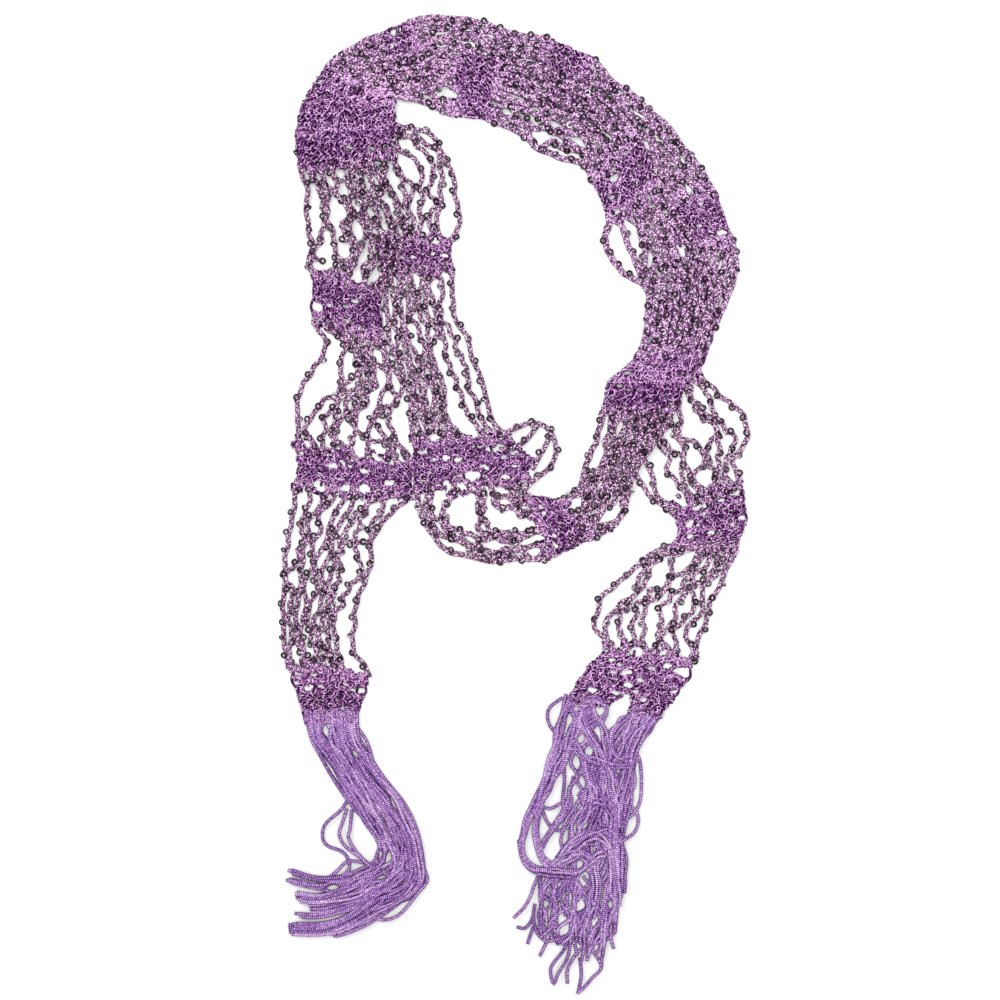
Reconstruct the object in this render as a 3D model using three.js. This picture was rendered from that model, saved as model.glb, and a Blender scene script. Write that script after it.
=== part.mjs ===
// A beaded scarf belt: one long strip of crochet in which dense bands take turns with bare
// chain strands, with a cord fringe at both ends. It lies flat on a table, wound one and a
// half turns into a loose loop with two tails. Millimetres, +Z up, origin on the table under
// the middle of the whole outline, +Y towards the top of the loop.
import * as THREE from "three";

// ---------------------------------------------------------------- driving dimensions
const WALL = 2.4; // thickness of the crochet, in the bands and in the strands
const STRAND = 3.0; // width of one chain strand where it lies free
const STRAND_SHARE = 0.74; // most of the strands' pitch that a strand may take where they bunch
const STRANDS = 10; // chain strands side by side across the strip
const BUNCHES = 6; // bunches of strands where the strip is gathered along the top of the loop
const SEAM = 0.3; // clearance between two pieces, along a seam and between layers
const DRAPE = 0.25; // fall per millimetre of the cloth where it comes down off a lower layer
const BUNCH = 6.0; // width of one such bunch
const LOCKS = 13; // fringe cords in each layer of a fringe
const LOCK = 2.4; // width of one fringe cord
const LOCK_THICK = 2.1; // its height
const LAYER_SHIFT = 0.25; // of the cords' pitch, that each layer of a fringe lies to its side
const END_STEPS = { lock: 7, layer: 3 }; // how the short and long ends are dealt to the cords
const BACKING = 4; // width of the strip that a fringe's cords grow from
const OWN_ROWS = 4; // sections this near along the strip are neighbours, never a layer below
const FIRST_ROW = 100; // number of the strip's first section, clear of the arch's own numbers
const LAYERS = 4; // the most layers of cloth that lie on each other, with one to spare

// ---------------------------------------------------------------- the strip, as it lies
// Each row is a section across the strip: its left and right end, seen along the strip from
// the left fringe to the right one; what runs from it to the next row, "band" or "net"; and
// the clear width of each gap between strands that is wider than the rest, by its number.
// A band is closed between its strands, apart from the gap that hole names.
const COLUMNS = ["leftX", "leftY", "rightX", "rightY", "next", "wide", "hole"];

const LEFT_TAIL = table(COLUMNS, [
  [-137.3, -137, -102.3, -137, "band"],
  [-143.5, -119, -96.5, -121, "band"],
  [-147, -107, -95, -109, "net", { 8: 8 }],
  [-151, -93, -103, -95, "net", { 8: 8 }],
  [-152, -78, -104, -80, "net", { 8: 9 }],
  [-151.5, -60, -100, -58, "net", { 7: 4, 8: 6 }],
  [-150.8, -42, -93, -40, "net", { 7: 8, 8: 4 }],
  [-149, -27, -92, -27, "net", { 7: 6, 8: 4 }],
  [-147, -12, -86, -12, "net"],
  [-144.5, 2, -75, -1, "net"],
  [-143, 14, -69, 6, "band"],
  [-142.5, 37, -68, 27, "net"],
  [-141.5, 50, -81, 52, "net", { 0: 5 }],
  [-143.5, 66, -77, 66, "net", { 0: 14 }],
  [-138, 80, -73, 78, "net", { 0: 21 }],
  [-127, 96, -80, 92, "net", { 0: 12 }],
  [-125.5, 108, -84, 101, "net", { 0: 10 }],
  [-131.5, 122, -85, 108, "band"],
  [-132.5, 151, -86, 138, "net"],
  [-136, 159, -78, 151, "net", { 0: 4 }],
  [-133, 171, -72, 169, "net", { 0: 3 }],
  [-137.5, 189, -69, 190, "net", { 0: 9 }],
  [-136, 204, -72, 210, "net", { 0: 3 }],
  [-141, 219, -80, 230, "band"],
  [-143.5, 240, -77.5, 247, "seam"],
]);

const INNER_ARC = table(COLUMNS, [
  [-143.5, 240, -77.5, 247, "band"],
  [-135, 263, -76.5, 263, "net"],
  [-117, 279, -70, 263.5, "net"],
  [-95, 289, -61, 261.5, "net"],
  [-72, 292, -52, 258.5, "net", { 4: 5 }],
  [-45, 293, -40, 252.5, "band"],
  [-8, 290, -15, 248.5, "net"],
  [8, 287, 3, 240, "net", { 4: 6 }],
  [25, 281, 14, 231, "net", { 4: 7 }],
  [44, 273, 28, 225.5, "net", { 4: 4 }],
  [62, 261, 42, 220.5, "net"],
  [80, 241, 49, 211, "band"],
  [95, 209, 60, 184.5, "net"],
  [104, 193, 57, 172, "net", { 3: 5, 4: 10 }],
  [114, 175, 63, 157, "net", { 3: 5, 4: 9 }],
  [122, 159, 73, 148.5, "net"],
  [127, 143, 84, 141, "net"],
  [128, 125, 85, 125, "net"],
  [121, 99, 80, 99, "band"],
  [113, 80, 59, 79.5, "seam"],
]);

const BOTTOM_TURN = table(COLUMNS, [
  [113, 80, 59, 79.5, "band"],
  [104, 62, 56, 62, "net"],
  [95, 45, 52.5, 45, "net", { 8: 3 }],
  [84, 30, 47, 29, "net", { 8: 4 }],
  [76.5, 15, 42, 14.5, "net"],
  [72.5, 0, 38, 8.5, "net"],
  [66, -13, 34, 5.5, "net", { 0: 4 }],
  [51, -22, 29, 4, "band"],
  [24, -34.5, 8, 7, "net"],
  [2, -36.5, 3, 4, "net", { 5: 5 }],
  [-20, -37, 1, 6.5, "net", { 5: 9 }],
  [-40, -32, 0, 9, "net", { 4: 13 }],
  [-54, -22, 0, 11.5, "net", { 4: 17 }],
  [-62, -6, 1, 14, "net", { 4: 19 }],
  [-66, 11, 3, 17, "band"],
  [-68, 24, 1, 28, "seam"],
]);

const INNER_RISER = table(COLUMNS, [
  [-68, 24, 1, 28, "band"],
  [-67, 40, -6, 43, "net"],
  [-69, 55, -14, 57, "net", { 6: 7, 8: 4 }],
  [-70, 72, -18.5, 74, "net", { 6: 8, 8: 4 }],
  [-72, 90, -24, 91, "net", { 6: 8, 8: 4 }],
  [-77, 108, -31, 109, "net", { 8: 4 }],
  [-83, 125, -37.5, 124, "net", { 8: 5 }],
  [-85, 139, -40, 139, "net", { 8: 5 }],
  [-87, 152, -40, 155, "band"],
  [-93, 172, -41, 171, "net"],
  [-101, 183, -34.5, 187, "net", { 8: 10 }],
  [-111, 196, -38, 205, "net", { 7: 3, 8: 4 }],
  [-122, 209, -43, 224, "net", { 7: 3, 8: 5 }],
  [-134, 221, -54, 241, "net", { 7: 6, 8: 4 }],
  [-142, 231, -74, 247, "band"],
  [-143.5, 243, -77.5, 256, "seam"],
]);

const OUTER_ARC = table(COLUMNS, [
  [-143.5, 243, -77.5, 256, "band"],
  [-138, 264, -80, 262, "net"],
  [-120, 288.5, -79, 267, "net"],
  [-93, 304.5, -74, 272, "band"],
  [-66, 316, -60, 277, "net"],
  [-45, 318, -43, 278, "net"],
  [-22, 314.5, -25, 275, "net"],
  [2, 306.5, -5, 268, "net"],
  [21, 301.5, 13, 262, "band"],
  [49, 288.5, 33, 253, "net"],
  [66, 275, 46, 243, "net"],
  [84, 261.5, 60, 231, "net"],
  [103, 243, 74, 217, "net"],
  [118, 223, 85, 207, "net"],
  [128, 204, 94, 195, "band"],
  [142, 172, 102, 166, "net"],
  [144.8, 154, 104, 150, "net"],
  [138, 132, 99, 134, "net"],
  [131, 116, 94, 118, "band"],
  [126, 100, 89, 100, "seam"],
]);

const RIGHT_TAIL = table(COLUMNS, [
  [126, 100, 89, 100, "band"],
  [121, 86, 83, 80, "net"],
  [134, 72, 79, 57, "net", { 0: 5 }],
  [147, 60, 77, 37, "net", { 0: 11, 3: 9 }],
  [152, 43, 79, 17, "net", { 0: 7, 3: 7, 6: 7 }],
  [143, 29, 90, 7, "net", { 6: 6 }],
  [147.5, 13, 101, -3, "band"],
  [151, -8, 105, -15, "band"],
  [145, -28, 102, -25, "net"],
  [138, -44, 88, -31, "net", { 5: 9 }],
  [131, -58, 70, -47, "net", { 5: 5, 8: 6 }],
  [124, -71, 55, -62, "net", { 4: 9, 8: 7 }],
  [118, -86, 50.5, -77, "net", { 4: 5, 8: 5 }],
  [114, -100, 58, -91, "band"],
  [108, -116, 44, -108, "band"],
  [104, -121.5, 39.5, -114, "band", { 4: 9 }, 4],
  [99, -128.5, 35, -122, "band", { 4: 9 }],
  [97, -131, 33, -125, "end"],
]);

// The strip in order, from the left fringe to the right one. It was laid down from the right
// end, so each stretch lies over any that comes after it.
const STRETCHES = [
  { name: "left_tail", rows: LEFT_TAIL, strands: STRANDS },
  { name: "inner_arc", rows: INNER_ARC, strands: BUNCHES },
  { name: "bottom_turn", rows: BOTTOM_TURN, strands: STRANDS },
  { name: "inner_riser", rows: INNER_RISER, strands: STRANDS },
  { name: "outer_arc", rows: OUTER_ARC, strands: BUNCHES },
  { name: "right_tail", rows: RIGHT_TAIL, strands: STRANDS },
];

// One slack strand of the turn at the bottom stands up into an arch on the table: its middle.
const ARCH = table(["x", "y"], [
  [-12, 41],
  [-6, 46.5],
  [2, 50.5],
  [10, 53.3],
  [18, 52],
  [24, 46],
  [26.5, 38],
  [25.5, 30],
  [21, 23],
  [14, 17.5],
  [8, 12],
  [4, 5],
]);

// ---------------------------------------------------------------- the two fringes
// A row is a section across the cords, from the cloth outwards, and stray is how far the last
// cord stands off from the others there.
const FRINGE_COLUMNS = ["leftX", "leftY", "rightX", "rightY", "stray"];

const LEFT_FRINGE = table(FRINGE_COLUMNS, [
  [-102.3, -137.3, -137.3, -137.3, 0],
  [-101, -150, -133, -151, 0],
  [-94, -163, -125, -166, 0],
  [-84, -178, -116, -181, 0],
  [-72, -193, -107, -194, 0],
  [-64, -209, -98, -206, 9],
  [-60, -226, -90, -217, 15],
  [-59, -243, -88, -226, 10],
  [-66, -255, -93, -232, 3],
  [-82, -264, -101, -236, 0],
  [-101, -275, -113, -240, 0],
  [-122, -281, -130, -242, 0],
  [-148, -279, -149, -238, 0],
]);

const RIGHT_FRINGE = table(FRINGE_COLUMNS, [
  [97, -131.3, 33, -125.3, 0],
  [88, -143, 31, -138, 0],
  [81, -158, 28, -152, 0],
  [81, -176, 22, -174, 0],
  [79, -196, 16, -197, 5],
  [73, -215, 13, -216, 9],
  [70, -235, 14, -236, 3],
  [70, -254, 12, -255, 0],
  [67, -272, 8, -271, 0],
  [64, -288, 14, -286, 0],
  [57, -302, 24, -301, 0],
  [46, -318, 33, -316, 0],
]);

const FRINGES = [
  { name: "left_fringe", rows: LEFT_FRINGE, ends: 3 },
  { name: "right_fringe", rows: RIGHT_FRINGE, ends: 5 },
];

// ---------------------------------------------------------------- tables and sections
function table(columns, rows) {
  return rows.map((cells) =>
    Object.fromEntries(columns.map((name, i) => [name, cells[i]])),
  );
}

// The ends of a section as two plan points.
function ends(row) {
  return {
    left: new THREE.Vector2(row.leftX, row.leftY),
    right: new THREE.Vector2(row.rightX, row.rightY),
  };
}

// Both edges of each strand across a section, as plan points from left to right. The wide gaps
// keep their clear width, and the other strands share what is left evenly.
function strandEdges(row, strands, strandWidth) {
  const { left, right } = ends(row);
  const width = left.distanceTo(right);
  const wide = row.wide ?? {};
  const wideGaps = Object.keys(wide).length;
  const wideWidth = Object.values(wide).reduce((sum, gap) => sum + gap, 0);
  const evenGaps = strands - 1 - wideGaps;
  let pitch = (width - wideWidth - strandWidth * (1 + wideGaps)) / evenGaps;
  let each = strandWidth;
  if (each > STRAND_SHARE * pitch) {
    pitch = (width - wideWidth) / (evenGaps + STRAND_SHARE * (1 + wideGaps));
    each = STRAND_SHARE * pitch;
  }
  const points = [];
  let middle = each / 2;
  for (let strand = 0; strand < strands; strand++) {
    points.push(left.clone().lerp(right, (middle - each / 2) / width));
    points.push(left.clone().lerp(right, (middle + each / 2) / width));
    middle += strand in wide ? wide[strand] + each : pitch;
  }
  return points;
}

// Draws the two end sections of a stretch in by half a seam, so that neighbours stay apart.
function openSeams(rows) {
  const moved = rows.map((row) => ({ ...row }));
  const pull = (from, to) => {
    const a = ends(from);
    const b = ends(to);
    const left = a.left.clone().add(b.left.clone().sub(a.left).setLength(SEAM / 2));
    const right = a.right.clone().add(b.right.clone().sub(a.right).setLength(SEAM / 2));
    Object.assign(from, { leftX: left.x, leftY: left.y, rightX: right.x, rightY: right.y });
  };
  pull(moved[0], moved[1]);
  pull(moved.at(-1), moved.at(-2));
  return moved;
}

// ---------------------------------------------------------------- laying the cloth down
// A sheet is a grid of sections: points[row][line] in plan, base[row][line] the height of its
// underside, and rank[row] its place in the order of laying, the first one down having the
// highest rank.
function gridOf(rows, pointsOfRow, firstRank) {
  const points = rows.map(pointsOfRow);
  return {
    rows,
    points,
    base: points.map((line) => line.map(() => 0)),
    rank: rows.map((_, row) => firstRank + row),
  };
}

function cornersOf(grid, row, line) {
  const at = grid.points;
  return [at[row][line], at[row][line + 1], at[row + 1][line + 1], at[row + 1][line]];
}

// Whether two convex outlines in plan overlap: no side of either keeps them apart.
function overlap(first, second) {
  const apart = (a, b) =>
    a.some((from, i) => {
      const side = a[(i + 1) % a.length].clone().sub(from);
      return b.every((point) => side.cross(point.clone().sub(from)) <= 0);
    });
  return !apart(first, second) && !apart(second, first);
}

// Every cell of the grids, with its corners, its box in plan and its rank.
function cellsOf(grids) {
  const cells = [];
  for (const grid of grids) {
    for (let row = 0; row + 1 < grid.points.length; row++) {
      for (let line = 0; line + 1 < grid.points[row].length; line++) {
        const corners = cornersOf(grid, row, line);
        const box = new THREE.Box2().setFromPoints(corners);
        cells.push({ grid, row, line, corners, box, rank: grid.rank[row] });
      }
    }
  }
  return cells;
}

// The pairs of cells of which one lies on the other.
function stackedPairs(cells) {
  const pairs = [];
  for (const upper of cells) {
    for (const lower of cells) {
      if (lower.rank - upper.rank < OWN_ROWS) continue;
      if (!upper.box.intersectsBox(lower.box)) continue;
      if (overlap(upper.corners, lower.corners)) pairs.push([upper, lower]);
    }
  }
  return pairs;
}

function highest(cell) {
  const { base } = cell.grid;
  return Math.max(
    base[cell.row][cell.line],
    base[cell.row][cell.line + 1],
    base[cell.row + 1][cell.line],
    base[cell.row + 1][cell.line + 1],
  );
}

function lift(cell, height) {
  const { base } = cell.grid;
  for (const row of [cell.row, cell.row + 1]) {
    for (const line of [cell.line, cell.line + 1]) {
      base[row][line] = Math.max(base[row][line], height);
    }
  }
}

// Lets the cloth come down off a layer at its drape and no faster.
function easeDown(grids) {
  const sections = grids.flatMap((grid) =>
    grid.points.map((points, row) => ({ points, base: grid.base[row], rank: grid.rank[row] })),
  );
  const raised = sections.map((section) => [...section.base]);
  sections.forEach((section, i) => {
    sections.forEach((other, j) => {
      if (Math.abs(section.rank - other.rank) >= OWN_ROWS) return;
      section.points.forEach((point, line) => {
        other.points.forEach((from, otherLine) => {
          const reach = other.base[otherLine] - DRAPE * point.distanceTo(from);
          raised[i][line] = Math.max(raised[i][line], reach);
        });
      });
    });
  });
  sections.forEach((section, i) => section.base.splice(0, Infinity, ...raised[i]));
}

// Raises each cell over what lies below it until nothing moves any more.
function layDown(grids) {
  const pairs = stackedPairs(cellsOf(grids));
  for (let round = 0; round < LAYERS; round++) {
    for (const [upper, lower] of pairs) lift(upper, highest(lower) + WALL + SEAM);
    easeDown(grids);
  }
}

// ---------------------------------------------------------------- solids
// The closed wall over a grid, without the cells for which isOpen says so.
function wallOf(grid, thick, isOpen) {
  const rows = grid.points.length;
  const lines = grid.points[0].length;
  const positions = [];
  for (const height of [0, thick]) {
    for (let row = 0; row < rows; row++) {
      for (let line = 0; line < lines; line++) {
        const { x, y } = grid.points[row][line];
        positions.push(x, y, grid.base[row][line] + height);
      }
    }
  }
  const bottom = (row, line) => row * lines + line;
  const top = (row, line) => rows * lines + bottom(row, line);
  const solid = (row, line) =>
    row >= 0 && line >= 0 && row < rows - 1 && line < lines - 1 && !isOpen(row, line);
  const faces = [];
  const quad = (a, b, c, d) => faces.push(a, b, c, a, c, d);
  const side = (from, to) =>
    quad(bottom(...from), bottom(...to), top(...to), top(...from));
  for (let row = 0; row < rows - 1; row++) {
    for (let line = 0; line < lines - 1; line++) {
      if (!solid(row, line)) continue;
      const near = [row, line];
      const nearRight = [row, line + 1];
      const far = [row + 1, line];
      const farRight = [row + 1, line + 1];
      quad(top(...near), top(...nearRight), top(...farRight), top(...far));
      quad(bottom(...near), bottom(...far), bottom(...farRight), bottom(...nearRight));
      if (!solid(row - 1, line)) side(near, nearRight);
      if (!solid(row + 1, line)) side(farRight, far);
      if (!solid(row, line - 1)) side(far, near);
      if (!solid(row, line + 1)) side(nearRight, farRight);
    }
  }
  return closed(positions, faces);
}

// A geometry of only the corners that its faces use.
function closed(positions, faces) {
  const used = new Map();
  const kept = [];
  const index = faces.map((corner) => {
    if (!used.has(corner)) {
      used.set(corner, used.size);
      kept.push(...positions.slice(corner * 3, corner * 3 + 3));
    }
    return used.get(corner);
  });
  const geometry = new THREE.BufferGeometry();
  geometry.setAttribute("position", new THREE.Float32BufferAttribute(kept, 3));
  geometry.setIndex(index);
  geometry.computeVertexNormals();
  return geometry;
}

const yarn = new THREE.MeshStandardMaterial({ color: 0x7d4f99, roughness: 0.7, metalness: 0 });
const cord = new THREE.MeshStandardMaterial({ color: 0x9a6fb5, roughness: 0.65, metalness: 0 });

function meshOf(name, geometry, material) {
  const mesh = new THREE.Mesh(geometry, material);
  mesh.name = name;
  return mesh;
}

const isGap = (line) => line % 2 === 1;

// ---------------------------------------------------------------- the crochet strip
const belt = new THREE.Group();
belt.name = "beaded_scarf_belt";

let rank = FIRST_ROW;
const clothGrids = STRETCHES.map((stretch) => {
  const rows = openSeams(stretch.rows);
  const width = stretch.strands === STRANDS ? STRAND : BUNCH;
  const grid = gridOf(rows, (row) => strandEdges(row, stretch.strands, width), rank);
  rank += rows.length;
  return grid;
});

// The arch is one strand wide, and square to its own run at every point.
function archGrid() {
  const middles = ARCH.map(({ x, y }) => new THREE.Vector2(x, y));
  const across = (row) => {
    const along = middles[Math.min(row + 1, middles.length - 1)]
      .clone()
      .sub(middles[Math.max(row - 1, 0)]);
    return new THREE.Vector2(along.y, -along.x).setLength(STRAND / 2);
  };
  const edges = (_, row) => [
    middles[row].clone().sub(across(row)),
    middles[row].clone().add(across(row)),
  ];
  return gridOf(ARCH, edges, 0);
}

const arch = archGrid();
layDown([...clothGrids, arch]);

STRETCHES.forEach((stretch, i) => {
  const grid = clothGrids[i];
  const isOpen = (row, line) => {
    const { next, hole } = grid.rows[row];
    return isGap(line) && (next === "net" || hole === (line - 1) / 2);
  };
  belt.add(meshOf(stretch.name, wallOf(grid, WALL, isOpen), yarn));
});
belt.add(meshOf("slack_arch", wallOf(arch, WALL, () => false), yarn));

// ---------------------------------------------------------------- the fringes
// Each fringe is two layers of cords. A layer is one backing strip along the cloth's end with
// the cords growing out of it, and the upper layer's cords lie over the lower one's gaps.
function fringeLayer(fringe, layer) {
  const rows = fringe.rows;
  const start = { ...rows[0] };
  const first = ends(rows[0]);
  const second = ends(rows[1]);
  const backedTo = (a, b) => b.clone().sub(a).setLength(BACKING).add(a);
  const left = backedTo(first.left, second.left);
  const right = backedTo(first.right, second.right);
  const backing = { leftX: left.x, leftY: left.y, rightX: right.x, rightY: right.y, stray: 0 };
  const sections = [start, backing, ...rows.slice(1)];
  const edges = (row) => {
    const points = strandEdges(row, LOCKS, LOCK);
    const across = points.at(-1).clone().sub(points[0]).normalize();
    const shift = points[2].distanceTo(points[0]) * LAYER_SHIFT;
    const offset = across.clone().multiplyScalar(layer === 0 ? -shift : shift);
    points.forEach((point) => point.add(offset));
    const stray = layer === 0 ? row.stray : 0;
    points.slice(-2).forEach((point) => point.addScaledVector(across, stray));
    return points;
  };
  const grid = gridOf(sections, edges, 0);
  const height = SEAM + layer * (LOCK_THICK + SEAM);
  grid.base.forEach((line) => line.fill(height));
  const last = (line) => {
    const lock = line / 2;
    const shorter = (lock * END_STEPS.lock + layer * END_STEPS.layer) % fringe.ends;
    return sections.length - 1 - shorter;
  };
  const isOpen = (row, line) => row > 0 && (isGap(line) || row >= last(line));
  return wallOf(grid, LOCK_THICK, isOpen);
}

for (const fringe of FRINGES) {
  belt.add(meshOf(`${fringe.name}_under`, fringeLayer(fringe, 0), cord));
  belt.add(meshOf(`${fringe.name}_top`, fringeLayer(fringe, 1), cord));
}

export default belt;
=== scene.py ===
"""A beaded scarf belt, laid on a table in one and a half turns with two tails.

The strip is crocheted from a metallic chainette yarn. Dense bands take turns with sections of
bare strands, ten side by side, which carry small gunmetal rings. Each end has a fringe of
ribbed cords. Sizes and places here are millimetres, and metres only where a mesh is made.
"""
import math

import bpy
import numpy as np
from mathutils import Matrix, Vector


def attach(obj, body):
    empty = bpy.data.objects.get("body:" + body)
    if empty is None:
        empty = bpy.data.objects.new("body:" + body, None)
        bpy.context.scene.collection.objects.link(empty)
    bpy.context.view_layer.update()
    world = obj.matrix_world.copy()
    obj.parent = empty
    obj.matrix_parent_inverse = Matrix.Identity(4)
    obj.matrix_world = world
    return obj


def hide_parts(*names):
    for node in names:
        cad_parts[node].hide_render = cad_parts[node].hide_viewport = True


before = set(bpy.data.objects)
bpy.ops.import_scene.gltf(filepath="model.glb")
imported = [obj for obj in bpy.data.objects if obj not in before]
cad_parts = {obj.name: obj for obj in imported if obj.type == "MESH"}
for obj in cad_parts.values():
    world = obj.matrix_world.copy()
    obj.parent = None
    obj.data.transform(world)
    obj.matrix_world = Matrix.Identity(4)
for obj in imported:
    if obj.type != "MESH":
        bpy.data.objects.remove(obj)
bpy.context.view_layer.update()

MM = 0.001
TURN = 2 * math.pi

# ---------- the strip, as it lies
STRANDS = 10  # strands side by side across the strip
STRAND = 3.0  # width of one where it lies free
STRAND_SHARE = 0.74  # most of their pitch that the strands take where they bunch
STRIP_WIDTH = 66  # of the strip when it is pulled out flat

# Each row is a section across the strip, with its left and right end as seen along the strip
# from the left fringe, and the clear width of each gap between strands that is wider than the
# rest. Before the rows stands what runs on from each of them to the next one.
BAND, NET = "band", "net"


def sections(*items):
    rows, kind = [], None
    for item in items:
        if item in (BAND, NET):
            kind = item
            continue
        wide = item[4] if len(item) > 4 else {}
        rows.append({"left": item[:2], "right": item[2:4], "wide": wide, "next": kind})
    return rows


LEFT_TAIL = sections(
    BAND, (-137, -142, -102, -139), (-143.5, -119, -96.5, -121),
    NET, (-147, -107, -95, -109, {8: 8}), (-151, -93, -103, -95, {8: 8}), (-152, -78, -104, -80, {8: 9}),
    (-151.5, -60, -100, -58, {7: 4, 8: 6}), (-150.8, -42, -93, -40, {7: 8, 8: 4}),
    (-149, -27, -92, -27, {7: 6, 8: 4}), (-147, -12, -86, -12), (-144.5, 2, -75, -1),
    BAND, (-143, 14, -67.5, 6),
    NET, (-142.5, 37, -66.5, 27), (-141.5, 50, -81, 52, {0: 5}), (-143.5, 66, -77, 66, {0: 14}),
    (-138, 80, -73, 78, {0: 21}), (-127, 96, -80, 92, {0: 12}), (-125.5, 108, -84, 101, {0: 10}),
    BAND, (-131.5, 122, -85, 108),
    NET, (-132.5, 151, -86, 138), (-136, 159, -78, 151, {0: 4}), (-133, 171, -72, 169, {0: 3}),
    (-137.5, 189, -69, 190, {0: 9}), (-136, 204, -72, 210, {0: 3}),
    BAND, (-141, 219, -80, 230), (-143.5, 240, -77.5, 247),
)

INNER_ARC = sections(
    BAND, (-143.5, 240, -77.5, 247), (-135, 263, -76.5, 263),
    NET, (-117, 279, -70, 263.5), (-95, 289, -61, 261.5), (-72, 292, -52, 258.5, {7: 5}),
    BAND, (-45, 293, -40, 252.5),
    NET, (-8, 290, -15, 248.5), (8, 287, 3, 240, {7: 2}), (25, 281, 14, 231, {7: 5}),
    (44, 273, 28, 225.5, {7: 2}), (62, 261, 42, 220.5),
    BAND, (80, 241, 49, 211),
    NET, (95, 209, 60, 184.5), (104, 193, 57, 172, {7: 6, 8: 11}), (114, 175, 63, 157, {7: 6, 8: 10}),
    (122, 159, 73, 148.5), (127, 143, 84, 141), (128, 125, 85, 125),
    BAND, (121, 99, 80, 99), (113, 80, 59, 79.5),
)

BOTTOM_TURN = sections(
    BAND, (113, 80, 59, 79.5),
    NET, (104, 62, 56, 62), (95, 45, 52.5, 45, {8: 3}), (84, 30, 47, 29, {8: 4}), (76.5, 15, 42, 14.5),
    (72.5, 0, 38, 8.5), (66, -13, 34, 5.5, {0: 4}),
    BAND, (51, -22, 29, 4),
    NET, (24, -34.5, 8, 7), (2, -36.5, 3, 4, {5: 4}), (-20, -37, 1, 6.5, {5: 11}),
    (-40, -32, 0, 9, {4: 6, 5: 6}), (-54, -22, 0, 11.5, {3: 18, 6: 5}), (-62, -6, 4, 13, {3: 25, 6: 8}),
    BAND, (-66, 11, 9, 19), (-68, 24, 13, 30),
)

INNER_RISER = sections(
    BAND, (-68, 24, 13, 30),
    NET, (-67, 40, -3, 44, {6: 9, 7: 5}), (-69, 55, -14, 57, {6: 12, 7: 3, 8: 5}),
    (-70, 72, -18.5, 74, {6: 9, 7: 3, 8: 6}), (-76, 90, -24, 91, {6: 8, 7: 3, 8: 6}),
    (-83, 108, -31, 109, {7: 3, 8: 5}), (-85, 125, -37.5, 124, {8: 5}), (-85, 139, -40, 139, {8: 5}),
    BAND, (-87, 152, -40, 155),
    NET, (-93, 172, -41, 171), (-101, 183, -34.5, 187, {8: 10}), (-111, 196, -38, 205, {7: 3, 8: 4}),
    (-122, 209, -43, 224, {7: 2, 8: 3}), (-134, 221, -54, 241, {7: 3, 8: 3}),
    BAND, (-142, 231, -74, 247), (-143.5, 243, -77.5, 256),
)

OUTER_ARC = sections(
    BAND, (-143.5, 243, -77.5, 256), (-138, 264, -80, 262),
    NET, (-120, 288.5, -79, 267),
    BAND, (-93, 304.5, -74, 272),
    NET, (-66, 316, -60, 277), (-45, 318, -43, 278), (-22, 314.5, -25, 275), (2, 306.5, -5, 268),
    BAND, (22, 303.5, 13, 262),
    NET, (49, 291.5, 33, 253), (66, 275, 46, 243), (84, 261.5, 60, 231), (103, 243, 74, 217),
    (118, 223, 85, 207),
    BAND, (130, 204.5, 94, 195),
    NET, (142, 172, 102, 166), (144.8, 154, 104, 150), (138, 132, 99, 134),
    BAND, (131, 116, 94, 118), (126, 100, 89, 100),
)

RIGHT_TAIL = sections(
    BAND, (126, 100, 89, 100),
    NET, (121, 86, 83, 80), (134, 72, 79, 57, {0: 5}), (147, 60, 77, 37, {0: 11, 3: 9}),
    (152, 43, 79, 17, {0: 7, 3: 2, 7: 9}), (143, 29, 88, 4, {6: 6}),
    BAND, (147.5, 13, 100, -5), (151, -8, 105, -15),
    NET, (145, -28, 102, -25), (138, -44, 88, -31, {5: 9}), (131, -58, 70, -47, {5: 5, 8: 6}),
    (126, -72, 55, -62, {4: 9, 8: 7}), (121, -87, 50.5, -77, {4: 5, 8: 5}),
    BAND, (117, -101, 58, -91), (110, -117, 44, -108), (96, -138, 33, -126),
)

# What can be seen through, each opening as its middle and radius. Where two stretches lie on
# each other, both are open there.
LOWER_LEFT_OPEN = [
    (-138, 3, 2.5), (-129, 5, 2), (-123, -6, 2), (-99, 2, 2.5), (-91, -2, 3), (-81, 0, 3), (-142, -21, 3),
    (-130, -16, 1.5), (-97, -20, 2), (-108, -33, 3), (-108, -44, 3.5), (-98, -29, 2), (-99, -51, 1.5),
    (-145, -33, 2.5), (-145, -48, 2.5), (-105, -65, 2), (-110, -78, 2.5), (-110, -89, 2.5),
    (-108, -104, 2), (-99, -106, 2.5), (-141, -99, 3), (-133, -94, 2), (-130, -67, 1.5), (-136, -83, 1.5),
    (-107, 97, 2), (-107, 88, 3), (-90, 97, 2.5), (-93, 70, 2), (-121, 65, 2), (-131, 47, 4),
    (-119, 41, 2.5), (-110, 45, 4.5), (-99, 55, 3), (-100, 38, 4.5), (-91, 45, 2), (-89, 34, 4.5),
    (-80, 69, 2.5), (-78, 82, 2.5), (-86, 82, 2.5), (-76, 78, 2), (-80, 29, 2), (-136, 39, 2.5),
    (-138, 10, 3), (-127, 12, 3), (-110, 11, 2.5), (-97, 10, 3), (-117, 26, 1.3), (-107, 26, 1.3),
    (-98, 22, 1.3), (-82, 14, 1.3), (-73, 32, 3), (-129, 129, 2), (-127, 120, 1.5), (-109, 120, 1.2),
    (-133, -118, 1),
]

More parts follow.
